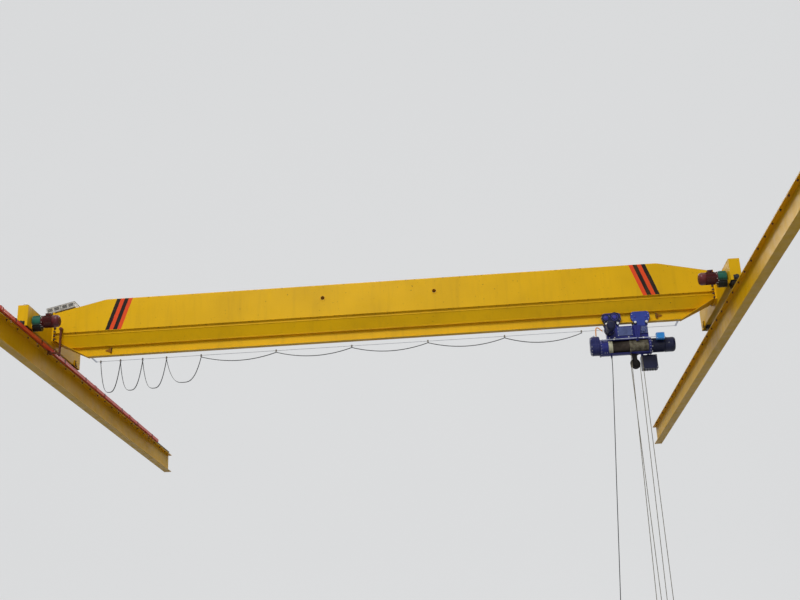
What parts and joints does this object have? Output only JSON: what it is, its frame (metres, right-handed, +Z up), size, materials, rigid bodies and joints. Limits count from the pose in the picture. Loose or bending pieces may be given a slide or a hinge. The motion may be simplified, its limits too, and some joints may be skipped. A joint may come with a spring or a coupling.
{
  "type": "single-girder overhead bridge crane",
  "caption": "Overhead travelling crane: a box girder on end carriages rolls along two rail beams, with a rope hoist running under it.",
  "frame": {"origin": "middle of the left runway beam's underside, at its second support", "axes": "+X along the girder to the right rail, +Y along the runway away from the viewer, +Z up"},
  "size_m": [16.132, 18, 10.831],
  "materials": {
    "yellow_paint": "semi_gloss",
    "rail_steel": "satin",
    "conductor_orange": "satin",
    "dark_steel": "satin",
    "black_rubber": "matte",
    "wheel_iron": "satin",
    "motor_maroon": "semi_gloss",
    "gearbox_teal": "semi_gloss",
    "box_beige": "satin",
    "sounder_white": "satin",
    "galvanised_wire": "satin",
    "cable_black": "matte",
    "hoist_navy": "semi_gloss",
    "box_navy": "semi_gloss",
    "drum_steel": "satin",
    "rope_steel": "matte",
    "hook_red": "semi_gloss",
    "pendant_yellow": "satin",
    "switch_grey": "satin"
  },
  "bodies": {
    "runway": {"left_runway_beam": "yellow_paint", "right_runway_beam": "yellow_paint", "crane_rails": "rail_steel", "conductor_bar": "conductor_orange", "conductor_bar_brackets": "dark_steel"},
    "bridge": {"girder_box": "yellow_paint", "girder_track": "yellow_paint", "girder_end_plates": "yellow_paint", "trolley_stops": "dark_steel", "left_end_carriage": "yellow_paint", "right_end_carriage": "yellow_paint", "carriage_buffers": "black_rubber", "wheel_bearings": "yellow_paint", "left_travel_motor": "motor_maroon", "right_travel_motor": "motor_maroon", "left_travel_gearbox": "gearbox_teal", "right_travel_gearbox": "gearbox_teal", "control_box": "box_beige", "warning_sounder": "sounder_white", "current_collector": "dark_steel", "festoon_wire": "galvanised_wire", "festoon_cable": "cable_black"},
    "left_driven_wheel": {"left_driven_wheel": "wheel_iron"},
    "right_driven_wheel": {"right_driven_wheel": "wheel_iron"},
    "left_idle_wheel": {"left_idle_wheel": "wheel_iron"},
    "right_idle_wheel": {"right_idle_wheel": "wheel_iron"},
    "hoist": {"driven_trolley": "hoist_navy", "idle_trolley": "hoist_navy", "trolley_wheels": "wheel_iron", "trolley_motor": "hoist_navy", "hoist_frame": "hoist_navy", "drum_shell": "hoist_navy", "hoist_gearbox": "hoist_navy", "hoist_motor": "hoist_navy", "hoist_controls": "box_navy", "limit_switch": "switch_grey", "upper_sheave_bracket": "dark_steel", "rope_leads": "rope_steel", "rope_falls": "rope_steel", "pendant_cable": "cable_black", "pendant_station": "pendant_yellow"},
    "drum": {"rope_drum": "drum_steel"},
    "sheave": {"upper_sheave": "dark_steel"},
    "block": {"hook_block": "hook_red", "hook": "hook_red"}
  },
  "joints": [
    {"name": "bridge_travel", "type": "slide", "parent": "runway", "child": "bridge", "axis": [0, 1, 0], "range_m": [-5.5, 8.7]},
    {"name": "hoist_travel", "type": "slide", "parent": "bridge", "child": "hoist", "axis": [1, 0, 0], "range_m": [-11.5, 0.15], "deforming": ["festoon_cable"]},
    {"name": "hook_lift", "type": "slide", "parent": "hoist", "child": "block", "axis": [0, 0, 1], "range_m": [0, 7.3], "deforming": ["rope_falls"]},
    {"name": "left_driven_wheel_turn", "type": "hinge", "parent": "bridge", "child": "left_driven_wheel", "pos_m": [0, -0.05, 0.8053], "axis": [1, 0, 0], "continuous": true},
    {"name": "right_driven_wheel_turn", "type": "hinge", "parent": "bridge", "child": "right_driven_wheel", "pos_m": [15.8, -0.05, 0.8053], "axis": [1, 0, 0], "continuous": true},
    {"name": "left_idle_wheel_turn", "type": "hinge", "parent": "bridge", "child": "left_idle_wheel", "pos_m": [0, 2.75, 0.8053], "axis": [1, 0, 0], "continuous": true},
    {"name": "right_idle_wheel_turn", "type": "hinge", "parent": "bridge", "child": "right_idle_wheel", "pos_m": [15.8, 2.75, 0.8053], "axis": [1, 0, 0], "continuous": true},
    {"name": "drum_turn", "type": "hinge", "parent": "hoist", "child": "drum", "pos_m": [13.585, 1.35, -0.092], "axis": [1, 0, 0], "continuous": true},
    {"name": "sheave_turn", "type": "hinge", "parent": "hoist", "child": "sheave", "pos_m": [13.695, 1.35, -0.507], "axis": [-0.342, 0.9397, 0], "continuous": true}
  ],
  "couplings": [
    {"joint": "left_driven_wheel_turn", "follows": "bridge_travel", "rad_per_m": -7.4074},
    {"joint": "right_driven_wheel_turn", "follows": "bridge_travel", "rad_per_m": -7.4074},
    {"joint": "left_idle_wheel_turn", "follows": "bridge_travel", "rad_per_m": -7.4074},
    {"joint": "right_idle_wheel_turn", "follows": "bridge_travel", "rad_per_m": -7.4074},
    {"joint": "drum_turn", "follows": "hook_lift", "rad_per_m": -26.936},
    {"joint": "sheave_turn", "follows": "hook_lift", "rad_per_m": 17.391}
  ]
}
